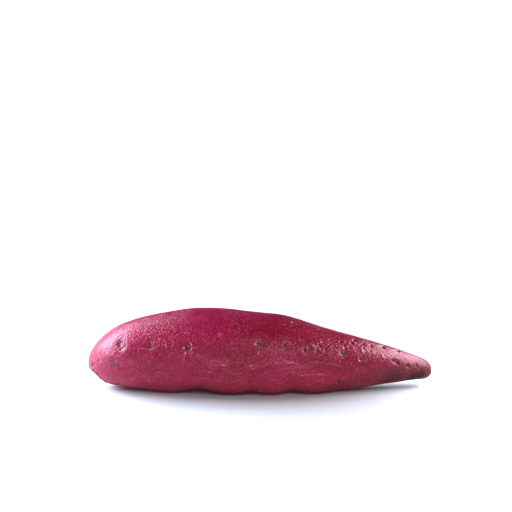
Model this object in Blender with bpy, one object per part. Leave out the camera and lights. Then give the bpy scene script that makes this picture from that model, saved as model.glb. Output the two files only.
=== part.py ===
"""A sweet potato: one storage root, thick and blunt at its stem end, tapered at its root tip.

It lies on its belly on a level surface. +X runs from the stem end to the root tip, -Y is the side
that is seen from the front, and +Z is up. The origin is at the middle of the root's length and
width, at the surface that it lies on.
"""

import bpy
import numpy as np

# Driving dimensions, in millimetres and degrees
MM = 0.001
LENGTH = 202.9
GIRTH_RADIUS = 24.8
RINGS = 96
SEGMENTS = 60
TIP_RISE = 0.15
SEED = 7

# The outline, from the stem end to the root tip: how far along the length, and the radius there as
# a share of the radius at the thickest place.
OUTLINE = (
    (0.000, 0.00),
    (0.006, 0.20),
    (0.025, 0.41),
    (0.065, 0.63),
    (0.150, 0.83),
    (0.280, 0.95),
    (0.420, 0.99),
    (0.570, 0.90),
    (0.700, 0.73),
    (0.800, 0.56),
    (0.900, 0.385),
    (0.962, 0.265),
    (0.990, 0.175),
    (1.000, 0.00),
)

# The line that the root grew along: how far along the length, how far it bends back, and how high
# it lies above the surface.
CENTRELINE = (
    (0.00, 10.0, 15.6),
    (0.10, 6.5, 20.8),
    (0.25, 3.5, 23.8),
    (0.45, 0.0, 24.4),
    (0.60, 0.5, 22.0),
    (0.75, 3.0, 17.4),
    (0.88, 8.0, 14.4),
    (1.00, 15.0, 9.4),
)

# Broad swellings (+) and hollows (-): distance from the middle of the length, angle round the root
# (0 faces the front, 90 is the top), height, half length along the root, half width round it.
SWELLINGS = (
    (-55.0, -75.0, 0.9, 11.0, 13.0),
    (-36.0, -72.0, -1.9, 8.0, 15.0),
    (-14.0, -70.0, 0.5, 12.0, 14.0),
    (-6.0, -64.0, -1.5, 4.5, 11.0),
    (8.0, -72.0, 0.6, 8.0, 12.0),
    (18.0, -56.0, -1.5, 4.5, 12.0),
    (31.0, -66.0, 1.0, 9.0, 10.0),
    (45.0, -45.0, -0.9, 4.5, 8.0),
    (-38.0, 88.0, 1.2, 16.0, 14.0),
    (-6.0, 84.0, -0.9, 9.0, 14.0),
    (14.0, 82.0, 0.5, 9.0, 12.0),
    (57.0, 62.0, 0.9, 13.0, 9.0),
    (36.0, 80.0, -0.6, 9.0, 10.0),
    (-84.0, 40.0, 0.7, 12.0, 12.0),
    (-62.0, 28.0, -0.5, 9.0, 7.0),
    (-35.0, 150.0, 1.3, 26.0, 12.0),
    (24.0, 170.0, -1.0, 18.0, 10.0),
    (46.0, 140.0, 0.9, 15.0, 9.0),
    (-70.0, 195.0, 0.8, 14.0, 12.0),
    (0.0, 215.0, 1.0, 22.0, 11.0),
)

# Shallow furrows that run along the root, in the same terms
FURROWS = (
    (20.0, -8.0, -0.75, 34.0, 3.4),
    (-22.0, 2.0, -0.45, 20.0, 4.0),
    (26.0, 52.0, -0.50, 24.0, 3.6),
    (-8.0, 128.0, -0.80, 34.0, 4.0),
    (30.0, 205.0, -0.70, 28.0, 3.6),
    (-46.0, 172.0, -0.60, 24.0, 4.0),
    (-24.0, 248.0, -0.50, 30.0, 4.0),
)

# Eyes, the pits where side roots grew: distance from the middle of the length, angle, radius of
# the pit and its depth. These are the ones that show from the front.
FRONT_EYES = (
    (-80.8, 33.0, 3.6, 1.20),
    (-63.5, 23.0, 2.4, 0.60),
    (-42.2, 18.0, 2.8, 1.20),
    (-0.6, 25.0, 2.8, 0.60),
    (13.8, 29.0, 2.4, 0.45),
    (26.0, 25.0, 2.4, 0.70),
    (34.2, 30.0, 2.6, 0.80),
    (47.2, 31.0, 2.6, 0.70),
    (58.7, 25.0, 2.2, 0.60),
    (78.5, 24.0, 2.2, 0.60),
    (19.8, 70.0, 2.6, 0.60),
    (54.5, 69.0, 2.2, 0.60),
    (71.7, 71.0, 2.0, 0.60),
    (80.2, 73.0, 2.0, 0.50),
    (-82.4, -56.0, 2.2, 0.60),
)
# The rows of eyes on the sides that don't show from the front, as angles
HIDDEN_ROWS = (122.0, 180.0, 238.0)
HIDDEN_SPACING = 17.0
HIDDEN_JITTER = 5.0
HIDDEN_REACH = 84.0
HIDDEN_RADIUS = (2.0, 3.0)
HIDDEN_DEPTH = (0.5, 1.0)

# The scar where the root was broken off its stem is a flat face at the stem end.
STEM_SCAR_NORMAL = (-0.66, -0.18, -0.73)
STEM_SCAR_DEPTH = 1.3

# The belly is pressed flat where it rests.
REST_DEPTH = 1.0

# Ends thinner than this share of the thickest radius have less room for the relief than the belly.
THIN_SHARE = 0.4
# A pit is a little shorter along the root than it is wide round it.
PIT_SHARE = 0.8

SKIN_COLOUR = (0.27, 0.026, 0.062, 1.0)
SKIN_ROUGHNESS = 0.45


def clear_scene():
    for obj in list(bpy.data.objects):
        bpy.data.objects.remove(obj)


def spline(points, at):
    """A smooth curve (a natural cubic spline) through points, each (t, value...), read at t = at."""
    table = np.array(points, float)
    t, values = table[:, 0], table[:, 1:]
    count = len(t)
    gaps = np.diff(t)
    slopes = np.diff(values, axis=0) / gaps[:, None]
    system = np.eye(count)
    wanted = np.zeros_like(values)
    for i in range(1, count - 1):
        system[i, i - 1 : i + 2] = gaps[i - 1], 2 * (gaps[i - 1] + gaps[i]), gaps[i]
        wanted[i] = 6 * (slopes[i] - slopes[i - 1])
    bends = np.linalg.solve(system, wanted)
    i = np.clip(np.searchsorted(t, at) - 1, 0, count - 2)
    before, after, gap = (at - t[i])[:, None], (t[i + 1] - at)[:, None], gaps[i][:, None]
    return (
        bends[i] * after**3 / (6 * gap)
        + bends[i + 1] * before**3 / (6 * gap)
        + (values[i] / gap - bends[i] * gap / 6) * after
        + (values[i + 1] / gap - bends[i + 1] * gap / 6) * before
    )


def outline(rings):
    """(x, radius) of each ring. The outline is read by its own length, and goes on past both ends
    mirrored, so that it comes to each end square to the root."""
    half = np.array(OUTLINE) * (LENGTH, GIRTH_RADIUS)
    mirrored = np.vstack([half[2:0:-1] * (1, -1), half, half[-2:-4:-1] * (1, -1)])
    steps = np.hypot(*np.diff(mirrored, axis=0).T)
    travelled = np.concatenate([[0.0], np.cumsum(steps)]) - steps[:2].sum()
    whole = travelled[len(half) + 1]
    at = np.linspace(0.0, whole, rings + 2)[1:-1]
    curve = spline(np.column_stack([travelled, mirrored]), at)
    return curve[:, 0] - LENGTH / 2, curve[:, 1]


def hidden_eyes():
    """The eyes on the sides that don't show from the front, spaced along each row by chance."""
    chance = np.random.default_rng(SEED)
    eyes = []
    for row in HIDDEN_ROWS:
        for x in np.arange(-HIDDEN_REACH, HIDDEN_REACH, HIDDEN_SPACING):
            eyes.append(
                (
                    x + chance.uniform(-HIDDEN_JITTER, HIDDEN_JITTER),
                    row + chance.uniform(-HIDDEN_JITTER, HIDDEN_JITTER),
                    chance.uniform(*HIDDEN_RADIUS),
                    chance.uniform(*HIDDEN_DEPTH),
                )
            )
    return eyes


def hump(x, angle, radius, place, turn, half_length, half_width):
    """1 at (place, turn) on the surface, falling smoothly to 0 past half_length and half_width."""
    along = (x - place) / half_length
    round_it = np.radians((angle - turn + 180) % 360 - 180) * radius / half_width
    return np.exp(-(along**2) - round_it**2)


def surface():
    """Points of the root's surface, as rings from the stem end to the root tip, in millimetres."""
    x, radius = outline(RINGS)
    back, height = spline(CENTRELINE, x / LENGTH + 0.5).T
    angle = np.arange(SEGMENTS) * 360 / SEGMENTS
    x, radius, back, height = (v[:, None] for v in (x, radius, back, height))
    out = np.zeros((RINGS, SEGMENTS))
    for place, turn, rise, half_length, half_width in SWELLINGS + FURROWS:
        out += rise * hump(x, angle, radius, place, turn, half_length, half_width)
    for place, turn, size, depth in FRONT_EYES + tuple(hidden_eyes()):
        out -= depth * hump(x, angle, radius, place, turn, size * PIT_SHARE, size)
    reach = radius + out * np.minimum(1.0, radius / (THIN_SHARE * GIRTH_RADIUS))
    across = back - reach * np.cos(np.radians(angle))
    up = height + reach * np.sin(np.radians(angle))
    return np.stack([np.broadcast_to(x, reach.shape), across, up], axis=-1)


def press_flat(points, normal, depth):
    """Moves the points that reach furthest along normal back onto one plane, depth short of them."""
    normal = np.array(normal) / np.linalg.norm(normal)
    reach = points @ normal
    over = np.maximum(0.0, reach - (reach.max() - depth))
    return points - over[:, None] * normal


def root_mesh():
    rings = surface()
    # A point a little past each end's last ring closes that end.
    stem_tip = rings[0].mean(axis=0) - (TIP_RISE, 0.0, 0.0)
    root_tip = rings[-1].mean(axis=0) + (TIP_RISE, 0.0, 0.0)
    points = np.vstack([rings.reshape(-1, 3), stem_tip, root_tip])
    points = press_flat(points, STEM_SCAR_NORMAL, STEM_SCAR_DEPTH)
    points = press_flat(points, (0.0, 0.0, -1.0), REST_DEPTH)
    low, high = points.min(axis=0), points.max(axis=0)
    points -= ((low[0] + high[0]) / 2, (low[1] + high[1]) / 2, low[2])

    faces = []
    for ring in range(RINGS - 1):
        for segment in range(SEGMENTS):
            here, there = ring * SEGMENTS, (ring + 1) * SEGMENTS
            beside = (segment + 1) % SEGMENTS
            faces.append((here + segment, there + segment, there + beside, here + beside))
    last = (RINGS - 1) * SEGMENTS
    for segment in range(SEGMENTS):
        beside = (segment + 1) % SEGMENTS
        faces.append((segment, beside, RINGS * SEGMENTS))
        faces.append((last + beside, last + segment, RINGS * SEGMENTS + 1))

    mesh = bpy.data.meshes.new("sweet_potato")
    mesh.from_pydata((points * MM).tolist(), [], faces)
    mesh.validate()
    mesh.shade_smooth()
    return mesh


def skin_material():
    material = bpy.data.materials.new("skin")
    material.use_nodes = True
    shader = material.node_tree.nodes["Principled BSDF"]
    shader.inputs["Base Color"].default_value = SKIN_COLOUR
    shader.inputs["Roughness"].default_value = SKIN_ROUGHNESS
    shader.inputs["Metallic"].default_value = 0.0
    return material


def main():
    clear_scene()
    mesh = root_mesh()
    mesh.materials.append(skin_material())
    root = bpy.data.objects.new("sweet_potato", mesh)
    bpy.context.scene.collection.objects.link(root)


main()
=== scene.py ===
"""The looks of a sweet potato: its waxy, finely wrinkled skin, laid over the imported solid's form.

Lengths are in millimetres and angles in degrees, unless a name says otherwise. An angle round the
root is 0 at the front, which is -Y, and 90 at the top.
"""

import math
from collections import namedtuple

import bmesh
import bpy
import numpy as np
from mathutils import Matrix, Vector, noise
from mathutils.bvhtree import BVHTree


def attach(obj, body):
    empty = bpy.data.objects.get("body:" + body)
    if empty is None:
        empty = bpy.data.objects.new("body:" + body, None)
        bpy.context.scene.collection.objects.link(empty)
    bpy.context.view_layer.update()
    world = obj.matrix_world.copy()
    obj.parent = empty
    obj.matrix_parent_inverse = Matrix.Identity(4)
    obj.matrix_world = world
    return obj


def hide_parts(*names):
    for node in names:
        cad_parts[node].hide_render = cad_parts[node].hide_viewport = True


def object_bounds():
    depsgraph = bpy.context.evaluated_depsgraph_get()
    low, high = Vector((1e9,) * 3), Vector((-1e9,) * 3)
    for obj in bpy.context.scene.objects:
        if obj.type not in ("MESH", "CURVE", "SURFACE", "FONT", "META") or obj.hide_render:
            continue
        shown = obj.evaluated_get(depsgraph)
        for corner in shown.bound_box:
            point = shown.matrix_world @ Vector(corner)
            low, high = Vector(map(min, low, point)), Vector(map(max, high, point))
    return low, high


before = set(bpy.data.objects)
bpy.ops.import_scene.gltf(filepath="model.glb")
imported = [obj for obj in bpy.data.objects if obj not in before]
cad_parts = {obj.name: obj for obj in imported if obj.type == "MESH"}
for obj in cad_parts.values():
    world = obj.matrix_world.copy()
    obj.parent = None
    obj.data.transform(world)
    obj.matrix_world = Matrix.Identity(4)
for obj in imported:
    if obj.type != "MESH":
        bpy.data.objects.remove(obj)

MM = 0.001
CAD_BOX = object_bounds()

# How finely the skin is meshed: stations from the stem end to the root tip, and points round each,
# from the angle of the seam on
STATIONS = 446
POINTS_ROUND = 220
SEAM = -90
# The tries, and the points round each, that measure the way along the surface to space the stations
TRIES = 500
TRY_POINTS = 12

# How near two points of the solid's mesh are one, and how many times its faces are divided
WELD_REACH = 0.001
SMOOTH_LEVELS = 2

# How far in from each end the rays that shape the end's cap start
STEM_CAP = 15.0
TIP_CAP = 5.0

# The curves along the root's middle: how many cross-sections they go by, half the thickness of one,
# how far in from the stem end and from the root tip the outer ones lie, and the curves' degree
SECTIONS = 60
SECTION_HALF = 2.5
STEM_INSET = 4.0
TIP_INSET = 2.0
LINE_DEGREE = 6

# A mark on the skin: where it is, its half length and half width, how far its length turns from
# the root's length towards the top, and its height, which is negative for a dent.
Mark = namedtuple("Mark", "x angle length width slant height", defaults=(0, 0.0))

# The eyes that show from the front: shallow dents where side roots grew
PITS = (
    Mark(-79.9, 30, 2.6, 3.4, 38, -0.55),
    Mark(-97.9, -5, 1.4, 1.6, 0, -0.35),
    Mark(-93.4, 6, 1.6, 1.6, 20, -0.30),
    Mark(-84.6, 1, 2.0, 1.4, 0, -0.25),
    Mark(-83.1, 78, 1.5, 2.0, 30, -0.30),
    Mark(-79.2, 75, 1.5, 2.0, 30, -0.25),
    Mark(-62.9, 22, 1.9, 1.7, -25, -0.45),
    Mark(-54.7, 20, 1.2, 1.2, 0, -0.30),
    Mark(-41.5, 19, 2.4, 2.6, 10, -0.75),
    Mark(-82.9, -61, 1.4, 1.4, 0, -0.40),
    Mark(-0.9, 25, 2.4, 2.6, 10, -0.45),
    Mark(13.5, 29, 1.4, 2.4, 0, -0.35),
    Mark(19.0, 73, 2.0, 2.0, 0, -0.45),
    Mark(25.1, 25, 1.6, 2.4, 20, -0.50),
    Mark(28.6, 32, 1.8, 1.4, -38, -0.45),
    Mark(32.4, 27, 1.7, 2.0, 30, -0.50),
    Mark(33.9, 38, 1.3, 2.2, 10, -0.45),
    Mark(45.8, 54, 1.2, 1.4, 0, -0.35),
    Mark(46.6, 31, 1.7, 2.0, 20, -0.50),
    Mark(54.1, 68, 1.4, 1.5, 20, -0.40),
    Mark(52.4, 58, 1.2, 1.5, 20, -0.35),
    Mark(57.6, 22, 1.7, 1.8, 0, -0.40),
    Mark(59.5, 62, 1.3, 1.4, 0, -0.35),
    Mark(63.6, 59, 1.6, 1.6, 0, -0.40),
    Mark(71.4, 72, 1.5, 1.6, 0, -0.45),
    Mark(80.6, 80, 1.3, 1.4, 0, -0.40),
    Mark(77.2, 29, 1.5, 1.6, 0, -0.40),
    Mark(79.5, 22, 1.5, 1.6, 0, -0.40),
    Mark(86.1, 15, 1.6, 1.6, 0, -0.40),
    Mark(91.4, 24, 0.9, 1.6, 0, -0.30),
    Mark(98.4, -1, 1.6, 1.4, 0, -0.30),
    Mark(15.7, -38, 1.2, 2.4, 0, -0.45),
    Mark(44.4, -32, 1.2, 2.2, 0, -0.45),
)
# The dark corky scars in them
SCARS = (
    Mark(-81.5, 34, 0.9, 0.55, 40),
    Mark(-77.4, 29, 0.9, 0.60, 15),
    Mark(-80.1, 24, 1.1, 0.60, 45),
    Mark(-78.7, 27, 0.8, 0.40, 50),
    Mark(-97.9, -5, 1.00, 0.95),
    Mark(-98.2, -33, 0.70, 0.70),
    Mark(-95.4, -37, 1.10, 0.70),
    Mark(-93.9, 8, 0.60, 0.50),
    Mark(-92.9, 4, 0.50, 0.50),
    Mark(-83.5, 1.5, 0.50, 0.35),
    Mark(-86.4, 2.6, 0.40, 0.35),
    Mark(-83.4, 78, 0.80, 0.55, 20),
    Mark(-80.0, 76, 0.60, 0.35, 30),
    Mark(-62.9, 22, 0.95, 0.42, -20),
    Mark(-61.3, 20, 0.50, 0.65),
    Mark(-64.7, 22.5, 0.60, 0.35),
    Mark(-54.7, 20, 0.62, 0.48),
    Mark(-82.9, -61, 0.90, 0.80),
    Mark(-1.3, 26, 0.75, 0.60),
    Mark(-0.1, 23, 0.60, 0.50),
    Mark(-2.2, 24, 0.40, 0.35),
    Mark(13.5, 28, 0.45, 1.00),
    Mark(19.0, 73, 0.55, 0.55),
    Mark(25.1, 25, 0.65, 1.00, 20),
    Mark(27.2, 37, 0.55, 0.45),
    Mark(32.3, 26, 0.85, 0.70, 30),
    Mark(33.6, 37, 0.45, 0.85, 20),
    Mark(45.8, 54, 0.50, 0.50),
    Mark(46.6, 30, 0.85, 0.75),
    Mark(54.1, 69, 0.60, 0.50),
    Mark(52.6, 58, 0.50, 0.45),
    Mark(57.6, 22, 0.90, 0.95),
    Mark(59.5, 62, 0.62, 0.50),
    Mark(63.6, 59, 0.50, 0.50),
    Mark(71.4, 72, 0.80, 0.70),
    Mark(80.6, 80, 0.70, 0.60),
    Mark(77.2, 29, 0.90, 0.80),
    Mark(79.5, 22, 0.92, 0.85),
    Mark(86.1, 15, 1.00, 0.90),
    Mark(91.4, 24, 0.38, 1.00),
    Mark(97.5, 16, 0.65, 0.55),
    Mark(98.4, -1, 1.20, 0.85),
    Mark(84.7, 89, 0.40, 0.40),
    Mark(15.7, -38, 0.32, 1.00),
    Mark(44.4, -32, 0.42, 1.15),
)
# A dark ring round a corky plug
SOCKETS = (Mark(-41.2, 19, 1.30, 1.50, 20),)
# Brownish olive skin round the scars, and scuffs of the same colour
STAINS = (
    Mark(-79.4, 29, 2.6, 2.6, 40),
    Mark(-97.6, -5, 1.6, 1.6),
    Mark(-97.2, -32, 2.2, 2.0),
    Mark(-93.3, 6, 1.5, 1.4),
    Mark(-86.0, 2.5, 1.3, 0.9),
    Mark(-83.6, 1.5, 1.1, 0.9),
    Mark(-83.1, 78, 1.7, 1.1, 20),
    Mark(-79.2, 75, 1.8, 0.7, 30),
    Mark(-78.0, 71, 1.0, 0.5, 30),
    Mark(-66.3, 78, 1.8, 0.9, 10),
    Mark(-41.4, 83, 1.6, 0.7, 10),
    Mark(-63.0, 21.5, 2.1, 1.2, -15),
    Mark(-54.7, 20, 1.2, 1.0),
    Mark(-33.3, 16, 0.7, 0.6),
    Mark(-63.9, -35, 1.6, 0.45, 15),
    Mark(-63.0, -38, 1.3, 0.35, -15),
    Mark(-93.8, -20, 0.45, 1.6),
    Mark(-82.9, -61, 1.6, 1.4),
    Mark(-0.9, 25, 2.2, 2.0),
    Mark(-1.3, 13, 0.55, 1.5),
    Mark(0.0, -53, 0.45, 1.3),
    Mark(13.5, 29, 1.0, 2.0),
    Mark(19.0, 73, 1.7, 1.5),
    Mark(25.1, 25, 1.2, 1.8, 20),
    Mark(32.3, 27, 1.3, 1.4, 30),
    Mark(46.6, 31, 1.7, 1.7),
    Mark(57.6, 22, 1.5, 1.5),
    Mark(92.6, 1, 0.45, 0.7),
    Mark(91.9, 76, 1.0, 0.45),
    Mark(47.2, -24, 0.6, 0.6),
    Mark(15.7, -38, 0.7, 2.2),
    Mark(44.4, -32, 0.8, 1.9),
)
# Small tan flecks of cork
FLECKS = (
    Mark(-76.4, 30, 0.50, 0.40, 0, 0.12),
    Mark(-98.9, -29, 0.50, 0.60, 0, 0.10),
    Mark(-96.6, -43, 0.80, 0.50, 0, 0.10),
    Mark(-91.8, 5, 0.40, 0.40, 0, 0.10),
    Mark(-57.7, 81, 2.00, 0.32, 20, 0.10),
    Mark(-82.4, -64.5, 0.60, 0.45, 0, 0.12),
    Mark(-73.5, -34, 0.60, 0.50),
    Mark(-43.4, 17, 0.80, 0.75, 0, 0.50),
    Mark(-32.5, 37, 0.35, 0.35),
    Mark(-28.3, -17, 0.50, 0.40),
    Mark(-18.9, 22, 0.50, 0.40, 0, 0.10),
    Mark(-16.3, 23, 0.90, 0.30, 60, 0.10),
    Mark(-12.0, 46, 0.40, 0.38, 0, 0.08),
    Mark(-12.1, -54, 0.40, 0.50),
    Mark(-8.9, -68, 0.95, 0.32, 70),
    Mark(-9.5, -32, 0.45, 0.40),
    Mark(-2.4, 28, 0.45, 0.38),
    Mark(0.7, 21.5, 0.40, 0.34),
    Mark(-1.3, 12, 0.30, 0.80, 0, 0.08),
    Mark(13.7, 63, 0.42, 0.40, 0, 0.08),
    Mark(17.8, 73.5, 0.45, 0.45, 0, 0.10),
    Mark(20.2, 71.5, 0.42, 0.42, 0, 0.10),
    Mark(21.6, 41, 0.45, 0.38),
    Mark(33.5, 78, 0.55, 0.55, 0, 0.15),
    Mark(40.6, 40, 0.50, 0.48, 0, 0.12),
    Mark(47.7, 25.5, 0.42, 0.42, 0, 0.10),
    Mark(49.0, 85, 0.50, 0.50, 0, 0.15),
    Mark(20.8, -51, 0.52, 0.50, 0, 0.10),
    Mark(56.4, -36, 0.45, 0.45, 0, 0.10),
)
# Raised folds of skin, paler on top, partly as painted glints
FOLDS = (
    Mark(-78.2, 38, 1.3, 0.50, 60, 0.40),
    Mark(-79.2, 31.5, 1.5, 0.42, 45, 0.34),
    Mark(-82.3, 30, 1.3, 0.50, 50, 0.28),
    Mark(-76.6, 34, 1.0, 0.40, 60, 0.30),
    Mark(-81.6, 24.5, 1.1, 0.40, 55, 0.26),
    Mark(-58.7, 28, 1.9, 0.45, 35, 0.24),
    Mark(-57.2, 26, 1.7, 0.42, 30, 0.18),
    Mark(-60.1, 30, 1.3, 0.50, 60, 0.20),
    Mark(-88.0, 18, 0.9, 0.70, 0, 0.30),
    Mark(-86.2, 14, 0.9, 0.65, 0, 0.26),
    Mark(-84.8, 16.5, 0.8, 0.65, 0, 0.30),
    Mark(-87.3, 11.5, 0.8, 0.60, 0, 0.22),
    Mark(-98.8, 3, 0.8, 0.70, 0, 0.28),
    Mark(-23.1, 35, 1.7, 1.10, 0, 0.26),
    Mark(-39.3, 20, 0.55, 1.60, 0, 0.30),
    Mark(26.2, 29, 0.45, 1.00, 15, 0.34),
    Mark(30.0, 34.5, 2.9, 0.42, -38, 0.42),
    Mark(33.6, 31.5, 0.50, 1.10, 15, 0.42),
    Mark(34.3, 44, 0.45, 1.70, 15, 0.42),
    Mark(47.1, 40, 0.50, 1.60, 20, 0.48),
    Mark(49.6, 45, 0.50, 1.30, 20, 0.28),
    Mark(52.2, 65, 1.30, 0.45, 10, 0.36),
    Mark(54.5, 60, 0.50, 1.20, -20, 0.36),
    Mark(58.6, 41.5, 0.55, 1.60, 25, 0.42),
    Mark(63.2, 56, 1.20, 0.42, -10, 0.34),
    Mark(72.7, 70, 0.50, 0.75, 0, 0.36),
    Mark(70.2, 38, 0.55, 2.20, 30, 0.28),
    Mark(61.0, 48, 0.50, 1.50, 28, 0.26),
    Mark(53.0, 47, 0.50, 1.40, 24, 0.26),
    Mark(64.8, 43, 0.50, 1.40, 28, 0.26),
)
# Long thin lines on the skin: their course as (x, angle), their half width and their height
LINES = (
    (((-42.6, 11), (-43.3, 3), (-44.2, -6)), 0.60, 0.20),
    (((-24.4, -6), (-21.4, -6), (-17.0, -8)), 0.38, 0.12),
    (((-8.7, -6), (-8.2, -8), (-7.4, -11)), 0.45, 0.28),
    (((-17.9, -15), (-13.4, -18), (-9.5, -15), (-6.5, -11), (-2.8, -10)), 0.38, 0.19),
    (((-8.3, -8), (-4.4, -6), (0.7, -5), (6.0, 1)), 0.38, 0.19),
    (((-6.0, -5), (0.0, -2), (5.0, 2)), 0.34, 0.13),
    (((8.1, 0), (12.0, 2), (16.6, 1)), 0.40, 0.17),
    (((16.6, -3), (22.3, -3), (28.0, -2)), 0.36, 0.17),
    (((-34.4, -17), (-31.6, -17), (-28.3, -17)), 0.38, 0.15),
    (((1.9, -32), (6.4, -31), (11.0, -33)), 0.38, 0.12),
    (((-18.5, 19), (-15.6, 17), (-12.8, 18)), 0.38, 0.13),
    (((1.3, 17), (4.1, 19), (6.9, 19)), 0.36, 0.14),
    (((-21.9, 3), (-18.5, 0), (-15.1, -1)), 0.36, 0.14),
    (((-31.5, -1), (-25.8, -2), (-21.9, -5)), 0.36, 0.13),
    (((30.3, 12), (37.0, 10), (44.7, 8)), 0.42, -0.22),
    (((30.3, 9), (37.0, 7), (44.7, 5)), 0.40, 0.13),
    (((-40.0, 5), (-30.0, 1), (-20.0, -2)), 0.35, 0.10),
    (((-36.0, -2), (-26.0, -6), (-18.0, -5)), 0.35, 0.09),
    (((-30.0, -22), (-18.0, -27), (-4.0, -26)), 0.35, 0.08),
    (((16.0, -14), (28.0, -18), (40.0, -14)), 0.38, 0.05),
)

# Where the skin is roughest: x, angle, half length, half width, and how strong its creases and its
# pimples are
Zone = namedtuple("Zone", "x angle length width creases pimples")
ROUGH = (
    Zone(-60, 50, 18, 16, 0.04, 0.75),
    Zone(-86, 28, 12, 12, 0.08, 0.5),
    Zone(58, 52, 16, 6.5, 0.8, 0.85),
    Zone(80, 50, 14, 6, 0.4, 0.5),
    Zone(40, 36, 12, 8, 0.7, 1.0),
    Zone(10, 22, 18, 8, 0.4, 1.0),
)
# Where the skin is browner, as dust and, on the root tip's low side, partly as painted shade: x, angle,
# half length, half width, and how much of it
Dust = namedtuple("Dust", "x angle length width share")
DUST_AND_SHADE = (
    Dust(-55, 68, 12, 9, 0.15),
    Dust(-85, 3, 3.5, 3, 0.4),
    Dust(-75, 10, 6, 4, 0.3),
    Dust(2, 24, 5, 4, 0.25),
    Dust(14, 24, 7, 5, 0.15),
    Dust(78, -34, 12, 8, 0.75),
    Dust(80, -4, 9, 4.5, 0.6),
    Dust(92, -36, 12, 6.5, 1.0),
    Dust(-20, -60, 40, 7, 0.4),
    Dust(35, -56, 30, 7, 0.45),
    Dust(-60, -50, 16, 6, 0.3),
)

# The rows of eyes on the sides that don't show, placed by the rule that placed the solid's pits
HIDDEN_ROWS = (122.0, 180.0, 238.0)
HIDDEN_SPACING = 17.0
HIDDEN_JITTER = 5.0
HIDDEN_REACH = 84.0
HIDDEN_RADIUS = (2.0, 3.0)
HIDDEN_DEPTH = (0.5, 1.0)
SEED = 7
# Each is dented again in its middle. The dent's half length, half width and depth, as shares of the
# pit's radius and depth
DENT_LENGTH = 0.7
DENT_WIDTH = 0.9
DENT_DEPTH = 0.6
# A dent deeper than this holds a socket, not scars.
SOCKET_FROM = 0.48
# What else is placed by chance: scuffs on the hidden sides, and fine lines, as how many, between
# which x and between which angles
SCUFFS = 34
FINE_LINES = (
    (26, (-85, 70), (95, 290)),
    (22, (-32, 26), (-34, 14)),
)

# The scar where the root was broken off its stem: the way that the solid's flat facet there faces,
# how far behind the facet its edge lies, where the ray that finds it starts, and how far it reaches
STEM_SCAR_NORMAL = (-0.66, -0.18, -0.73)
STEM_SCAR_EDGE = 0.28
STEM_SCAR_START = -88.0
STEM_SCAR_REACH = 14.0

# Heights and depths of the relief
SCAR_DEPTH = 0.30
SCAR_RIM = 0.08
SOCKET_DEPTH = 0.40
SOCKET_RIM = 0.04
PLUG_HEIGHT = 0.30
CREASE_HEIGHT = 0.17
PORE_HEIGHT = 0.03
PIMPLE_HEIGHT = 0.06
FIBRE_HEIGHT = 0.04
UNEVEN_HEIGHT = 0.14
# How large they are along x, y and z
CREASE_SIZE = (1.7, 4.0, 4.0)
PORE_SIZE = (1.6, 1.5, 1.5)
PIMPLE_SIZE = (1.5, 1.3, 1.3)
FIBRE_SIZE = (9.0, 1.5, 1.5)
UNEVEN_SIZE = (9.0, 5.0, 5.0)
CORK_SIZE = 1.2
# The creases and pimples grow weaker towards the root tip: from which x, over what length, and by
# what share
CALM_FROM = 30.0
CALM_LENGTH = 25.0
CALM_SHARE = 0.7
# How far the creases lean: along x, for each millimetre up
CREASE_LEAN = 0.6
# How far out a mark or line and a zone are worked out, in their half lengths or widths, and how
# much a mark's outline wobbles
MARK_REACH = 3.0
ZONE_REACH = 2.5
MARK_WOBBLE = 0.25
# How many steps a line on the skin is laid in
LINE_STEPS = 60

# The photograph's camera: a 100 mm lens that looks down by PITCH. The point AIM_HEIGHT above the
# origin lies DISTANCE away along its view, and shows at AIM_PIXEL. It sees as far as VIEW_REACH.
LENS = 100.0
SENSOR = 36.0
PICTURE_SIDE = 512
PITCH = 10.5
DISTANCE = 827.0
AIM_HEIGHT = 24.0
AIM_PIXEL = (260.6, 350.6)
VIEW_REACH = 200000.0

# The soft lights: name, the point that it faces, the way to it from there, how far off it is, its
# width and height, how bright it glows, its colour, and whether the wax reflects it
SOFTBOXES = (
    ("left", (-83, -18, 33), (-0.79, 0.20, 0.46), 220, (185, 150), 18.0, (0.92, 1.0, 1.20), True),
    ("behind", (-60, 0, 30), (-0.52, 0.46, 0.68), 240, (150, 110), 7.0, (0.94, 0.97, 1.20), True),
    ("right", (90, 0, 18), (0.79, 0.14, 0.55), 110, (105, 80), 12.8, (1.0, 0.98, 1.10), True),
    ("edge", (90, 0, 18), (0.50, 0.66, 0.56), 130, (60, 60), 10.0, (1.0, 0.98, 1.10), True),
    ("front", (0, 0, 20), (0.15, -0.90, 0.38), 700, (1200, 460), 1.9, (1.0, 0.97, 1.0), False),
    ("key", (15, -20, 30), (0.30, -0.78, 0.55), 600, (130, 90), 17.0, (1.0, 0.97, 1.0), True),
)
WORLD_COLOUR = (0.92, 0.93, 1.0)
WORLD_GLOW = 0.14
# Below 1, it deepens the picture's middle tones.
GAMMA = 0.85

# The floor lies a hair below the root, so that the two faces don't flicker.
FLOOR_SIDE = 120000.0
FLOOR_GAP = 0.1
FLOOR_COLOUR = (0.61, 0.64, 0.65)
FLOOR_ROUGHNESS = 0.8
FLOOR_SPECULAR = 0.1
# The floor glows with painted light, to stay pale far away. It doesn't glow near the root, which leaves a
# painted shadow there round the root's real shadow: how bright it glows, the half length and half width of
# what doesn't glow, and how far the glow takes to come up
FLOOR_PAINTED_LIGHT = 1.0
PAINTED_LIGHT_COLOUR = (0.99, 0.99, 1.0)
PAINTED_SHADOW_SIZE = (62.0, 10.0)
PAINTED_SHADOW_FADE = 330.0


# The root's form, read from the frame


fit = np.polynomial.Polynomial.fit


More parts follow.
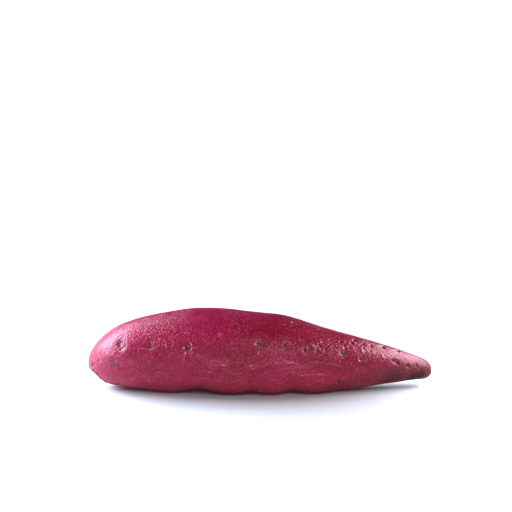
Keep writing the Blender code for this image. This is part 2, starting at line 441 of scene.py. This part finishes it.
def smooth_form(node):
    """A smooth, finely divided copy of a node's surface, to cast rays at."""
    mesh = bmesh.new()
    mesh.from_mesh(node.data)
    bmesh.ops.remove_doubles(mesh, verts=mesh.verts, dist=WELD_REACH * MM)
    # Pairs of triangles become faces with four sides, which smooth evenly.
    bmesh.ops.join_triangles(
        mesh, faces=mesh.faces, angle_face_threshold=1.0, angle_shape_threshold=1.5
    )
    copy = bpy.data.objects.new("form", bpy.data.meshes.new("form"))
    mesh.to_mesh(copy.data)
    mesh.free()
    bpy.context.scene.collection.objects.link(copy)
    copy.modifiers.new("smooth", "SUBSURF").levels = SMOOTH_LEVELS
    tree = BVHTree.FromObject(copy, bpy.context.evaluated_depsgraph_get())
    bpy.data.objects.remove(copy)
    return tree


class Form:
    """The frame's solid as a surface that is read by rays from its middle line."""

    def __init__(self, node):
        self.tree = smooth_form(node)
        points = np.array([v.co for v in node.data.vertices]) / MM
        self.low, self.high = points[:, 0].min(), points[:, 0].max()
        self.line = self.middle_line(points)

    def middle_line(self, points):
        """Smooth curves through the middles of the solid's cross-sections."""
        cuts = np.linspace(self.low + STEM_INSET, self.high - TIP_INSET, SECTIONS)
        middles = []
        for cut in cuts:
            near = points[np.abs(points[:, 0] - cut) < SECTION_HALF]
            middles.append((near.min(axis=0) + near.max(axis=0)) / 2)
        middles = np.array(middles)
        return fit(cuts, middles[:, 1], LINE_DEGREE), fit(cuts, middles[:, 2], LINE_DEGREE)

    def middle(self, x):
        return np.array([x, self.line[0](x), self.line[1](x)])

    def hit(self, start, way):
        """Where a ray from start meets the surface, and the normal there."""
        place, normal, _, _ = self.tree.ray_cast(Vector(start * MM), Vector(way))
        return np.array(place) / MM, np.array(normal)

    def at(self, x, angle):
        """The point of the surface at x and an angle round the root, and its normal."""
        turn = math.radians(angle)
        return self.hit(self.middle(x), np.array([0.0, -math.cos(turn), math.sin(turn)]))

    def station(self, t):
        """Where the rays of a station start, and how they lean: t is 0 to 1 over the stem end's
        cap, 1 to 2 along the root, and 2 to 3 over the tip's cap."""
        first, last = self.low + STEM_CAP, self.high - TIP_CAP
        x = first + (last - first) * min(max(t - 1, 0), 1)
        lean = 0.0
        if t < 1:
            lean = -math.cos(math.radians(90 * t))
        if t > 2:
            lean = math.cos(math.radians(90 * (3 - t)))
        return self.middle(x), lean

    def ring(self, t, count):
        """Points of the surface round one station."""
        start, lean = self.station(t)
        spread = math.sqrt(1 - lean * lean)
        points = []
        for step in range(count):
            turn = math.radians(SEAM + step * 360 / count)
            way = np.array([lean, -spread * math.cos(turn), spread * math.sin(turn)])
            points.append(self.hit(start, way)[0])
        return np.array(points)

    def grid(self, stations, count):
        """Rings of points whose stations lie evenly along the surface."""
        tries = np.linspace(0.0, 3.0, TRIES)[1:-1]
        rings = np.array([self.ring(t, TRY_POINTS) for t in tries])
        steps = np.linalg.norm(np.diff(rings, axis=0), axis=2).mean(axis=1)
        travelled = np.concatenate([[0.0], np.cumsum(steps)])
        chosen = np.interp(np.linspace(0.0, travelled[-1], stations), travelled, tries)
        return np.array([self.ring(t, count) for t in chosen])


def grid_normals(points):
    """Outward normals of a grid of rings."""
    round_it = np.roll(points, -1, axis=1) - np.roll(points, 1, axis=1)
    along = np.gradient(points, axis=0)
    normals = np.cross(along, round_it)
    return normals / np.linalg.norm(normals, axis=2, keepdims=True)


# The skin's relief, as heights over the form


def lumps(points, size, shift=0.0):
    """Smooth noise from -1 to 1 at each point, with lumps of one size, or of a size along x, y and
    z. Each noise has a shift of its own, so that no two run alike."""
    scaled = points.reshape(-1, 3) / np.array(size) + shift
    return np.array([noise.noise(Vector(p)) for p in scaled]).reshape(points.shape[:-1])


def hump(far):
    """1 at the middle, about a third at a distance of 1, and next to nothing from 2 on."""
    return np.exp(-(far**2))


def rim(far, at, width):
    """A hump that runs round the middle, at a distance from it."""
    return hump((far - at) / width)


class Relief:
    """Heights over the form at each point of the skin's grid, and what colours the skin there:
    scar, stain, fleck, cork and dust are shares of those colours, where dust also lays painted shade on
    the root tip's low side, crest is the height of the fine relief, and rough is how strong it is."""

    COLOURS = ("scar", "stain", "fleck", "cork", "dust", "crest", "rough")

    def __init__(self, form, points):
        self.form, self.points = form, points
        self.first, self.last = points[..., 0].min(axis=1), points[..., 0].max(axis=1)
        self.height = np.zeros(points.shape[:2])
        for name in self.COLOURS:
            setattr(self, name, np.zeros(points.shape[:2]))
        # These make the marks' outlines wobble, fray the scars, and break up the lines.
        self.wobble = lumps(points, 1.5)
        self.ragged = lumps(points, 0.9, 6.0)
        self.broken = lumps(points, 3.4, 2.0)

    def rows(self, low, high):
        """The stations that have points between two values of x."""
        near = np.nonzero((self.last > low) & (self.first < high))[0]
        return slice(near[0], near[-1] + 1)

    def patch(self, mark, reach=MARK_REACH):
        """The stations near a mark, and how far their points are from it: 1 at its half length
        along it and at its half width across it. Depth counts too, so that a mark doesn't come out
        on the far side of a thin end."""
        place, normal = self.form.at(mark.x, mark.angle)
        size = reach * max(mark.length, mark.width)
        rows = self.rows(place[0] - size, place[0] + size)
        apart = self.points[rows] - place
        along = np.array([1.0, 0.0, 0.0]) - normal[0] * normal
        along /= np.linalg.norm(along)
        beside = np.cross(normal, along)
        turn = math.radians(mark.slant)
        ahead, aside, deep = apart @ along, apart @ beside, apart @ normal
        ahead, aside = (
            (ahead * math.cos(turn) + aside * math.sin(turn)) / mark.length,
            (aside * math.cos(turn) - ahead * math.sin(turn)) / mark.width,
        )
        far = np.sqrt(ahead**2 + aside**2 + deep**2 / (mark.length * mark.width))
        return rows, far * (1 + MARK_WOBBLE * self.wobble[rows])

    def raise_to(self, name, rows, values):
        """Raises one of the colours' fields to values where it is lower."""
        field = getattr(self, name)
        field[rows] = np.maximum(field[rows], values)

    def pit(self, mark):
        """A dent with a low rim."""
        rows, far = self.patch(mark)
        self.height[rows] += mark.height * hump(1.25 * far) - 0.1 * mark.height * rim(far, 1.5, 0.4)

    def scar_hole(self, mark):
        """A dark ragged hole with a thin raised edge."""
        rows, far = self.patch(mark)
        far = far * (1 + 0.6 * self.ragged[rows])
        self.height[rows] += SCAR_RIM * rim(far, 1.8, 0.5) - SCAR_DEPTH * hump(far)
        self.raise_to("scar", rows, np.clip(1.6 - far, 0, 1))

    def socket(self, mark):
        """A dark ring round a corky plug, where a side root broke off."""
        rows, far = self.patch(mark)
        self.height[rows] += PLUG_HEIGHT * hump(far / 0.55) - SOCKET_DEPTH * rim(far, 1, 0.35)
        self.height[rows] += SOCKET_RIM * rim(far, 1.75, 0.35)
        self.raise_to("scar", rows, 1.1 * rim(far, 1, 0.36))
        self.raise_to("cork", rows, 0.7 * np.clip(2.2 - 2.2 * far, 0, 1))

    def stained(self, mark):
        """Brown skin, without relief."""
        rows, far = self.patch(mark)
        self.raise_to("stain", rows, hump(0.9 * far))

    def flecked(self, mark):
        """A low tan crumb."""
        rows, far = self.patch(mark)
        self.height[rows] += mark.height * hump(far)
        self.raise_to("fleck", rows, np.clip(1.6 - far, 0, 1))

    def fold(self, mark):
        """A raised fold, pale on top, partly as a painted glint, with a darker edge of painted shade."""
        rows, far = self.patch(mark)
        self.height[rows] += mark.height * hump(far)
        self.crest[rows] += mark.height * hump(far) - 0.3 * mark.height * rim(far, 1.9, 0.5)

    def thin_line(self, course, width, height):
        """A ridge or crease along a smooth course through places given as x and angle."""
        steps, at = np.linspace(0, 1, LINE_STEPS), np.linspace(0, 1, len(course))
        x, angle = (fit(at, values, len(course) - 1)(steps) for values in zip(*course))
        rows = self.rows(min(x) - MARK_REACH * width, max(x) + MARK_REACH * width)
        apart = np.full(self.points[rows].shape[:2], np.inf)
        for place in zip(x, angle):
            offsets = self.points[rows] - self.form.at(*place)[0]
            apart = np.minimum(apart, np.linalg.norm(offsets, axis=2))
        kept = np.clip(0.75 + 1.2 * self.broken[rows], 0, 1)
        rise = height * hump(apart / width) * kept * (0.9 + 0.6 * self.wobble[rows])
        self.height[rows] += rise
        self.crest[rows] += 2.0 * rise

    def wrinkles(self):
        """Fine creases, pimples and fibres, stronger in the rough zones and weaker towards the
        root tip, and broad unevenness."""
        points = self.points
        calm = 1 - CALM_SHARE * np.clip((points[..., 0] - CALM_FROM) / CALM_LENGTH, 0, 1)
        creased = calm * (0.10 + 0.4 * np.clip(2 * lumps(points, 21.0, 3.0), 0, 1))
        pimpled = calm * (0.14 + 0.4 * np.clip(2 * lumps(points, 17.0, 8.0), 0, 1))
        for zone in ROUGH:
            rows, far = self.patch(Mark(*zone[:4]), ZONE_REACH)
            creased[rows] = np.maximum(creased[rows], zone.creases * hump(far))
            pimpled[rows] = np.maximum(pimpled[rows], zone.pimples * hump(far))
        for zone in DUST_AND_SHADE:
            rows, far = self.patch(Mark(*zone[:4]), ZONE_REACH)
            self.raise_to("dust", rows, zone.share * hump(far))
        # The creases run across the root, and lean.
        leaning = points.copy()
        leaning[..., 0] += CREASE_LEAN * points[..., 2]
        creases = 0.3 - np.abs(lumps(leaning, CREASE_SIZE))
        pores = lumps(points, PORE_SIZE, 9.0)
        pimples = np.clip(lumps(points, PIMPLE_SIZE, 12.0) - 0.12, 0, 1)
        fibres = lumps(points, FIBRE_SIZE, 5.0)
        rise = creased * CREASE_HEIGHT * creases
        rise += pimpled * (PORE_HEIGHT * pores + PIMPLE_HEIGHT * pimples)
        rise += FIBRE_HEIGHT * fibres
        self.height += rise + UNEVEN_HEIGHT * lumps(points, UNEVEN_SIZE)
        self.crest += rise
        self.rough = np.maximum(creased, pimpled)

    def stem_scar(self):
        """The corky break at the stem end, with a raised edge and a hollow round its middle."""
        normal = np.array(STEM_SCAR_NORMAL) / np.linalg.norm(STEM_SCAR_NORMAL)
        place = self.form.hit(self.form.middle(STEM_SCAR_START), normal)[0]
        apart = self.points - place
        sunk = -(apart @ normal) + 0.10 * self.wobble
        far = np.linalg.norm(apart, axis=2)
        near = far < STEM_SCAR_REACH
        cork = np.clip(1.5 - sunk / STEM_SCAR_EDGE, 0, 1) * near
        rough = lumps(self.points, CORK_SIZE, 4.0)
        rings = np.cos(far * 2.4 + 1.5 * self.wobble)
        hollow = 0.35 * hump(far / 4.0)
        middle = 0.30 * hump(far / 1.3)
        self.height += cork * (0.16 * rough + 0.07 * rings - hollow + middle)
        self.height += 0.30 * rim(sunk, STEM_SCAR_EDGE, 0.22) * near
        self.cork = np.maximum(self.cork, cork)
        self.stain = np.maximum(self.stain, 0.9 * rim(sunk, 0.6, 0.5) * near)


class Marks:
    """All the marks of the skin: the listed ones, which show from the front, and others that are
    placed by chance, nearly all on the sides that don't."""

    def __init__(self):
        self.pits, self.scars, self.stains = list(PITS), list(SCARS), list(STAINS)
        self.sockets = list(SOCKETS)
        self.flecks, self.folds, self.lines = list(FLECKS), list(FOLDS), list(LINES)
        self.chance = np.random.default_rng(SEED)
        for row in HIDDEN_ROWS:
            for x in np.arange(-HIDDEN_REACH, HIDDEN_REACH, HIDDEN_SPACING):
                self.hidden_pit(x, row)
        for pit in self.pits[len(PITS) :]:
            self.hidden_eye(pit)
        for _ in range(SCUFFS):
            self.scuff()
        for count, reach, angles in FINE_LINES:
            for _ in range(count):
                self.fine_line(reach, angles)

    def between(self, low, high):
        return self.chance.uniform(low, high)

    def hidden_pit(self, x, row):
        """A dent that deepens the middle of one of the solid's pits."""
        x += self.between(-HIDDEN_JITTER, HIDDEN_JITTER)
        angle = row + self.between(-HIDDEN_JITTER, HIDDEN_JITTER)
        radius, depth = self.between(*HIDDEN_RADIUS), self.between(*HIDDEN_DEPTH)
        self.pits.append(Mark(x, angle, DENT_LENGTH * radius, DENT_WIDTH * radius, 0, -DENT_DEPTH * depth))

    def hidden_eye(self, pit):
        """A socket in a pit, or scars, a stain, flecks and folds round it."""
        turn = self.between(-40, 40)
        if pit.height < -SOCKET_FROM:
            self.sockets.append(Mark(pit.x, pit.angle, self.between(0.9, 1.4), self.between(1.0, 1.5)))
            return
        for _ in range(self.chance.integers(1, 4)):
            x, angle = pit.x + self.between(-1.1, 1.1), pit.angle + self.between(-4, 4)
            self.scars.append(Mark(x, angle, self.between(0.4, 1.0), self.between(0.4, 0.9), turn))
        self.stains.append(Mark(pit.x, pit.angle, pit.length, pit.width, turn))
        for _ in range(self.chance.integers(0, 3)):
            x, angle = pit.x + self.between(-2.2, 2.2), pit.angle + self.between(-6, 6)
            self.flecks.append(Mark(x, angle, self.between(0.35, 0.6), 0.4, turn, 0.12))
        for _ in range(self.chance.integers(0, 4)):
            x, angle = pit.x + self.between(-3, 3), pit.angle + self.between(-7, 7)
            height = self.between(0.2, 0.38)
            self.folds.append(Mark(x, angle, self.between(1.0, 2.2), 0.45, turn + 60, height))

    def scuff(self):
        """A small fleck or stain by itself."""
        x, angle = self.between(-90, 92), self.between(88, 292)
        length, width = self.between(0.35, 0.9), self.between(0.3, 0.5)
        kind = self.flecks if self.chance.random() < 0.4 else self.stains
        kind.append(Mark(x, angle, length, width, self.between(-90, 90), 0.08))

    def fine_line(self, reach, angles):
        """A line that runs along the root, placed by chance."""
        x, angle, step = self.between(*reach), self.between(*angles), self.between(4, 9)
        course = [(x + i * step, angle + self.between(-4, 4)) for i in range(3)]
        self.lines.append((course, self.between(0.30, 0.42), self.between(-0.10, 0.15)))

    def press(self, relief):
        """Presses all the marks into the relief."""
        for marks, press in (
            (self.pits, relief.pit),
            (self.scars, relief.scar_hole),
            (self.sockets, relief.socket),
            (self.stains, relief.stained),
            (self.flecks, relief.flecked),
            (self.folds, relief.fold),
        ):
            for mark in marks:
                press(mark)
        for line in self.lines:
            relief.thin_line(*line)


def skin_mesh(points, relief):
    """The closed mesh of a grid of rings, with what colours it as attributes."""
    stations, count = points.shape[:2]
    ends = points[0].mean(axis=0), points[-1].mean(axis=0)
    faces, places = [], []
    for ring in range(stations - 1):
        for step in range(count):
            beside = (step + 1) % count
            here, there = ring * count, (ring + 1) * count
            faces.append((there + step, there + beside, here + beside, here + step))
            places.append(((ring + 1, step), (ring + 1, step + 1), (ring, step + 1), (ring, step)))
    last = (stations - 1) * count
    for step in range(count):
        beside = (step + 1) % count
        faces.append((stations * count, beside, step))
        places.append(((-1, step + 0.5), (0, step + 1), (0, step)))
        faces.append((stations * count + 1, last + step, last + beside))
        places.append(((stations, step + 0.5), (stations - 1, step), (stations - 1, step + 1)))
    mesh = bpy.data.meshes.new("skin")
    mesh.from_pydata((np.vstack([points.reshape(-1, 3), *ends]) * MM).tolist(), [], faces)
    mesh.shade_smooth()
    places = np.array([place for face in places for place in face], float)
    places = (places + (1, 0)) / (stations + 1, count)
    mesh.uv_layers.new(name="OFBake").uv.foreach_set("vector", places.astype(np.float32).ravel())
    for name in relief.COLOURS:
        values = getattr(relief, name)
        ends = values[0].mean(), values[-1].mean()
        attribute = mesh.attributes.new(name, "FLOAT", "POINT")
        attribute.data.foreach_set("value", np.append(values.ravel(), ends).astype(np.float32))
    return mesh


def skin_surface():
    """The grid of the skin's points, with its relief pressed in, and the relief."""
    form = Form(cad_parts["sweet_potato"])
    points = form.grid(STATIONS, POINTS_ROUND)
    relief = Relief(form, points)
    relief.wrinkles()
    Marks().press(relief)
    relief.stem_scar()
    points = points + relief.height[..., None] * grid_normals(points)
    # What would pass the solid's box is cut back to it.
    return np.clip(points, *(np.array(corner) / MM for corner in CAD_BOX)), relief


# Materials


class Nodes:
    """Short ways to add the nodes of one material."""

    def __init__(self, name):
        self.material = bpy.data.materials.new(name)
        self.material.use_nodes = True
        self.tree = self.material.node_tree
        self.shader = self.tree.nodes["Principled BSDF"]
        self.place = self.add("ShaderNodeTexCoord").outputs["Object"]

    def add(self, kind, inputs=(), **settings):
        """A new node, with its settings set and its inputs filled."""
        node = self.tree.nodes.new(kind)
        for name, value in settings.items():
            setattr(node, name, value)
        self.fill(node, inputs)
        return node

    def fill(self, node, inputs):
        """Links or sets a node's input sockets, given by name."""
        for name, value in dict(inputs).items():
            self.set(node.inputs[name], value)

    def set(self, socket, value):
        """Links an output to a socket, or sets the socket's own value."""
        if isinstance(value, bpy.types.NodeSocket):
            self.tree.links.new(value, socket)
        else:
            socket.default_value = value

    def attribute(self, name):
        """One of the values that the relief left on the mesh."""
        return self.add("ShaderNodeAttribute", attribute_name=name).outputs["Fac"]

    def stretched(self, stretch, lean):
        """Object coordinates in which lumps come out longer along x, y and z by these factors, and
        lean down to the right, as seen from the front."""
        inputs = {"Vector": self.place, "Scale": stretch, "Rotation": (0, math.radians(lean), 0)}
        node = self.add("ShaderNodeMapping", inputs, vector_type="TEXTURE")
        return node.outputs["Vector"]

    def lumps(self, size, stretch=(1, 1, 1), detail=2.0, roughness=0.5, lean=0.0):
        """Noise from 0 to 1 with lumps of a size in millimetres."""
        inputs = {
            "Vector": self.stretched(stretch, lean),
            "Scale": 1 / (size * MM),
            "Detail": detail,
            "Roughness": roughness,
        }
        return self.add("ShaderNodeTexNoise", inputs).outputs["Fac"]

    def threads(self, size, length, lean, thin):
        """Thin broken lines, 1 in their middle."""
        course = self.lumps(size, (length, 1, 1), lean=lean)
        apart = self.math("ABSOLUTE", self.math("SUBTRACT", course, 0.5))
        return self.ramp(apart, thin, 0.0)

    def ramp(self, value, low, high):
        """value read as 0 at low and 1 at high."""
        inputs = {"Value": value, "From Min": low, "From Max": high}
        return self.add("ShaderNodeMapRange", inputs).outputs["Result"]

    def math(self, operation, first, second=0.0):
        node = self.add("ShaderNodeMath", operation=operation)
        self.set(node.inputs[0], first)
        self.set(node.inputs[1], second)
        return node.outputs[0]

    def times(self, *factors):
        product = factors[0]
        for factor in factors[1:]:
            product = self.math("MULTIPLY", product, factor)
        return product

    def mix(self, share, first, second):
        """A colour between two."""
        node = self.add("ShaderNodeMix", data_type="RGBA")
        self.set(node.inputs["Factor"], share)
        for socket, value in zip((s for s in node.inputs if s.type == "RGBA"), (first, second)):
            self.set(socket, (*value, 1) if isinstance(value, tuple) else value)
        return next(s for s in node.outputs if s.type == "RGBA")


# The colours of the skin and its marks, as linear red, green and blue
CRIMSON = (0.220, 0.0030, 0.028)
MAGENTA = (0.262, 0.0055, 0.047)
PAINTED_BOUNCE_ROSE = (0.44, 0.026, 0.078)
DEEP_AND_SHADE = (0.115, 0.0022, 0.014)
PINK = (0.50, 0.060, 0.140)
PALE_AND_HIGHLIGHT = (0.70, 0.41, 0.46)
OLIVE = (0.150, 0.060, 0.040)
UMBER_AND_SHADE = (0.042, 0.0035, 0.0035)
TAN = (0.44, 0.19, 0.11)
SCAR = (0.080, 0.016, 0.019)
CORK = (0.20, 0.095, 0.085)

SKIN_SPECULAR = 0.36
# The wax's roughness where it is smoothest, and how much rougher it gets
WAX_SMOOTH = 0.18
WAX_SPREAD = 0.30
# How much rougher the skin is where it is dull, and where it is seen edge on
DULL_BLUR = 0.4
EDGE_BLUR = 0.55
BUMP_DEPTH = 0.25


def skin_material():
    n = Nodes("skin")
    # The skin is pinker towards the stem end and palest on its upper side there, as painted sheen, deeper
    # towards the root tip, partly as painted shade, and rosy low down, as painted light from the floor.
    # The places along the root and up it are in metres.
    axes = n.add("ShaderNodeSeparateXYZ", {"Vector": n.place})
    along, up = axes.outputs["X"], axes.outputs["Z"]
    tone = n.math("ADD", n.lumps(22, (2, 1, 1)), n.times(along, -1.8))
    colour = n.mix(n.ramp(tone, 0.38, 0.66), CRIMSON, MAGENTA)
    # Darker towards the root tip, partly as painted shade.
    colour = n.mix(n.times(n.ramp(along, 0.015, 0.065), 0.5), colour, DEEP_AND_SHADE)
    # Painted sheen: the stem end's upper side is paler.
    painted_sheen = n.times(n.ramp(along, -0.072, -0.098), n.ramp(up, 0.012, 0.028))
    colour = n.mix(n.times(painted_sheen, 0.11), colour, PALE_AND_HIGHLIGHT)
    mottle = n.lumps(5, (2.2, 1, 1), 3.0)
    colour = n.mix(n.times(n.ramp(mottle, 0.5, 0.3), 0.35), colour, DEEP_AND_SHADE)
    # Painted light from the floor: the skin is rosier low down, short of the root tip.
    colour = n.mix(n.times(n.ramp(up, 0.018, 0.004), n.ramp(along, 0.070, 0.030), 0.9), colour, PAINTED_BOUNCE_ROSE)
    # Pale threads run along the root low down, and finer ones lean across it higher up.
    low = n.ramp(up, 0.031, 0.021)
    patches = n.times(n.ramp(n.lumps(9, (2, 1, 1)), 0.42, 0.58), low, n.ramp(along, 0.055, 0.040))
    high = n.times(n.ramp(n.lumps(11), 0.42, 0.56), n.math("SUBTRACT", 1.0, low))
    running = n.math("MAXIMUM", n.threads(3.0, 7, -3, 0.024), n.threads(1.7, 8, 4, 0.035))
    colour = n.mix(n.times(running, patches, 0.46), colour, PINK)
    leaning = n.math("MAXIMUM", n.threads(1.3, 4, 52, 0.05), n.threads(1.6, 5, 38, 0.04))
    colour = n.mix(n.times(leaning, high, 0.22), colour, PINK)
    # The tops of the fine relief are paler, partly as dry skin and partly as painted glints, and its
    # creases are darker, as painted shade.
    crest = n.attribute("crest")
    colour = n.mix(n.times(n.ramp(crest, 0.02, 0.22), 0.6), colour, PINK)
    colour = n.mix(n.times(n.ramp(crest, 0.22, 0.42), 0.8), colour, PALE_AND_HIGHLIGHT)
    colour = n.mix(n.times(n.ramp(crest, -0.01, -0.10), 0.5), colour, DEEP_AND_SHADE)
    grain = n.lumps(0.8, (1.2, 1, 1), roughness=0.6)
    rough = n.attribute("rough")
    some = n.ramp(rough, -0.3, 1.3)
    pimples = n.ramp(n.lumps(0.95, detail=0.0), 0.56, 0.74)
    colour = n.mix(n.times(n.ramp(grain, 0.52, 0.70), some, 0.75), colour, PINK)
    colour = n.mix(n.times(n.ramp(grain, 0.48, 0.32), some, 0.90), colour, DEEP_AND_SHADE)
    # Painted glints: pale specks on the pimples.
    colour = n.mix(n.times(pimples, some, 0.28), colour, PALE_AND_HIGHLIGHT)
    # Brown dust, and brown stains with pale crumbs round the eyes
    speckle = n.ramp(n.lumps(1.1, detail=3.0), 0.44, 0.60)
    dusty = n.math("MAXIMUM", n.ramp(n.lumps(14, detail=3.0), 0.58, 0.80), n.attribute("dust"))
    colour = n.mix(n.times(dusty, speckle, 0.50), colour, OLIVE)
    # Dark brown: dust, and on the root tip's low side partly painted shade.
    colour = n.mix(n.times(n.ramp(n.attribute("dust"), 0.1, 0.9), 0.9), colour, UMBER_AND_SHADE)
    stain = n.attribute("stain")
    around = n.times(n.ramp(stain, 0.2, 0.8), n.ramp(n.lumps(0.9, detail=3.0), 0.38, 0.54))
    colour = n.mix(n.times(around, 0.75), colour, OLIVE)
    crumbs = n.times(n.ramp(stain, 0.10, 0.40), n.ramp(n.lumps(0.75), 0.60, 0.68))
    colour = n.mix(n.times(crumbs, 0.75), colour, PALE_AND_HIGHLIGHT)
    colour = n.mix(n.ramp(n.attribute("fleck"), 0.35, 0.85), colour, TAN)
    ragged = n.times(n.math("SUBTRACT", n.lumps(0.7, detail=3.0), 0.5), 1.3)
    scar = n.ramp(n.math("ADD", n.attribute("scar"), ragged), 0.45, 0.80)
    colour = n.mix(scar, colour, SCAR)
    cork = n.mix(n.ramp(n.lumps(1.3, detail=4.0, roughness=0.7), 0.40, 0.62), SCAR, CORK)
    cork = n.mix(n.ramp(n.lumps(2.4, detail=4.0), 0.50, 0.72), cork, TAN)
    colour = n.mix(n.ramp(n.attribute("cork"), 0.4, 0.7), colour, cork)
    # The wax is uneven, and the scars, cork and dust are dull.
    dull = n.math("MAXIMUM", n.math("MAXIMUM", scar, n.attribute("cork")), n.times(dusty, 0.9))
    wax = n.math("ADD", n.times(n.lumps(2.2, detail=3.0), WAX_SPREAD), WAX_SMOOTH)
    # Seen edge on, it blurs what it reflects.
    facing = n.add("ShaderNodeLayerWeight", {"Blend": 0.5}).outputs["Facing"]
    edge = n.times(n.ramp(facing, 0.62, 0.92), EDGE_BLUR)
    blur = n.math("ADD", n.times(dull, DULL_BLUR), edge)
    # The bump: the finest grain, its pimples and the threads
    grainy = n.times(n.lumps(0.85, (1.2, 1, 1), 1.5), n.math("ADD", n.times(rough, 0.6), 0.5))
    threads = n.times(n.math("MAXIMUM", n.times(leaning, 0.4), running), 0.12)
    height = n.math("ADD", n.math("ADD", grainy, n.times(pimples, rough, 0.85)), threads)
    bump = n.add("ShaderNodeBump", {"Height": height, "Distance": BUMP_DEPTH * MM, "Strength": 1.0})
    finish = {
        "Base Color": colour,
        "Roughness": n.math("ADD", wax, blur),
        "Specular IOR Level": SKIN_SPECULAR,
        "Normal": bump.outputs["Normal"],
    }
    n.fill(n.shader, finish)
    return n.material


skin = bpy.data.objects.new("skin", skin_mesh(*skin_surface()))
skin.data.materials.append(skin_material())
bpy.context.scene.collection.objects.link(skin)
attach(skin, "root")
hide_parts("sweet_potato")


# The studio


def camera():
    data = bpy.data.cameras.new("camera")
    data.lens = LENS
    data.sensor_width = SENSOR
    data.clip_end = VIEW_REACH * MM
    viewer = bpy.data.objects.new("camera", data)
    bpy.context.scene.collection.objects.link(viewer)
    focal = LENS / SENSOR * PICTURE_SIDE
    turn = Matrix.Rotation(math.radians(90 - PITCH), 4, "X")
    right, up, back = (turn.to_3x3() @ Vector(v) for v in ((1, 0, 0), (0, 1, 0), (0, 0, 1)))
    beside = (AIM_PIXEL[0] - PICTURE_SIDE / 2) / focal * DISTANCE
    below = (AIM_PIXEL[1] - PICTURE_SIDE / 2) / focal * DISTANCE
    place = Vector((0, 0, AIM_HEIGHT)) + back * DISTANCE - right * beside + up * below
    viewer.matrix_world = Matrix.Translation(place * MM) @ turn
    bpy.context.scene.camera = viewer


def softbox(name, aim, way, distance, size, glow, colour, mirrored):
    """A rectangular light that faces a point from one way, as bright as glow. The wax doesn't
    reflect one that isn't mirrored."""
    data = bpy.data.lights.new(name, "AREA")
    data.shape = "RECTANGLE"
    data.size, data.size_y = size[0] * MM, size[1] * MM
    data.energy = glow * math.pi * data.size * data.size_y
    data.color = colour
    light = bpy.data.objects.new(name, data)
    light.visible_camera = False
    light.visible_glossy = mirrored
    bpy.context.scene.collection.objects.link(light)
    way = Vector(way).normalized()
    facing = way.to_track_quat("Z", "Y").to_matrix().to_4x4()
    light.matrix_world = Matrix.Translation((Vector(aim) + way * distance) * MM) @ facing


def floor_material():
    n = Nodes("floor")
    place = n.add("ShaderNodeSeparateXYZ", {"Vector": n.place})
    # The glow is painted light, and where it fades out round the root it leaves a painted shadow.
    outside = []
    for axis, near in zip("XY", PAINTED_SHADOW_SIZE):
        away = n.math("SUBTRACT", n.math("ABSOLUTE", place.outputs[axis]), near * MM)
        outside.append(n.math("MAXIMUM", away, 0.0))
    away = n.math("SQRT", n.math("ADD", *(n.times(side, side) for side in outside)))
    glow = n.add(
        "ShaderNodeMapRange",
        {"Value": away, "From Min": 0.0, "From Max": PAINTED_SHADOW_FADE * MM, "To Max": FLOOR_PAINTED_LIGHT},
        interpolation_type="SMOOTHSTEP",
    )
    finish = {
        "Base Color": (*FLOOR_COLOUR, 1),
        "Roughness": FLOOR_ROUGHNESS,
        "Specular IOR Level": FLOOR_SPECULAR,
        "Emission Color": (*PAINTED_LIGHT_COLOUR, 1),
        "Emission Strength": glow.outputs["Result"],
    }
    n.fill(n.shader, finish)
    return n.material


def studio():
    bpy.ops.mesh.primitive_plane_add(size=FLOOR_SIDE * MM, location=(0, 0, -FLOOR_GAP * MM))
    floor = bpy.context.object
    floor.name = "floor"
    floor.data.materials.append(floor_material())
    world = bpy.data.worlds.new("world")
    bpy.context.scene.world = world
    world.use_nodes = True
    background = world.node_tree.nodes["Background"]
    background.inputs["Color"].default_value = (*WORLD_COLOUR, 1)
    background.inputs["Strength"].default_value = WORLD_GLOW
    for box in SOFTBOXES:
        softbox(*box)
    bpy.context.scene.view_settings.view_transform = "Standard"
    bpy.context.scene.view_settings.gamma = GAMMA


camera()
studio()
